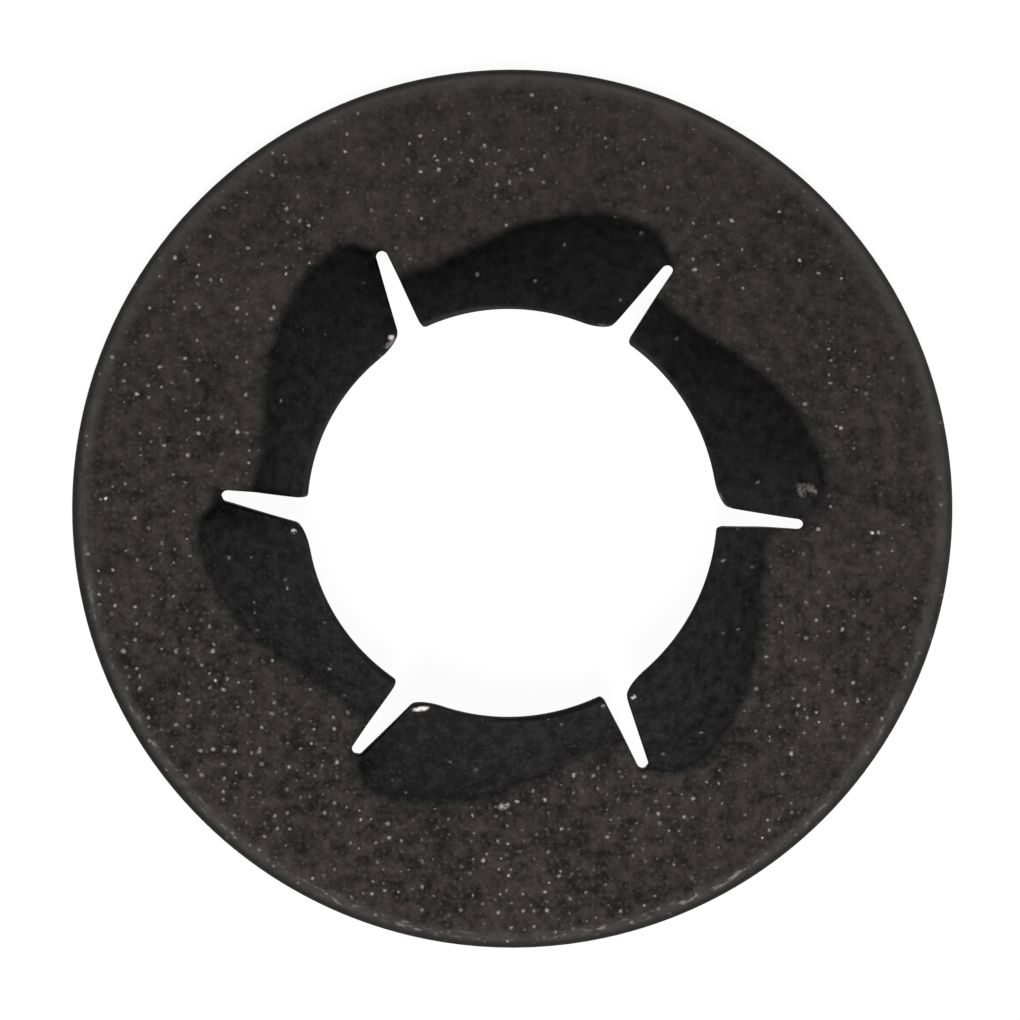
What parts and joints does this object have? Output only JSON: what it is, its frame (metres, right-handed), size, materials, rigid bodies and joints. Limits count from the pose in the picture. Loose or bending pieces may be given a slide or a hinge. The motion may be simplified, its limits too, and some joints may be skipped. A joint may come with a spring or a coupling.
{
  "type": "push on retaining washer",
  "caption": "Flat stamped spring steel ring whose slotted prongs are folded up on skew lines around the bore, to grip a plain stud pushed through it.",
  "frame": {"origin": "on the bore axis, on the flat underside of the rim", "axes": "+Z along the bore axis, from the flat underside towards the prong tips; the first prong starts 116 degrees from +X"},
  "size_m": [0.0126, 0.0126, 0.0013],
  "materials": {
    "phosphated_steel": "black phosphate, matt with fine bright grains"
  },
  "bodies": {
    "root": {"retaining_washer": "phosphated_steel"}
  },
  "joints": []
}
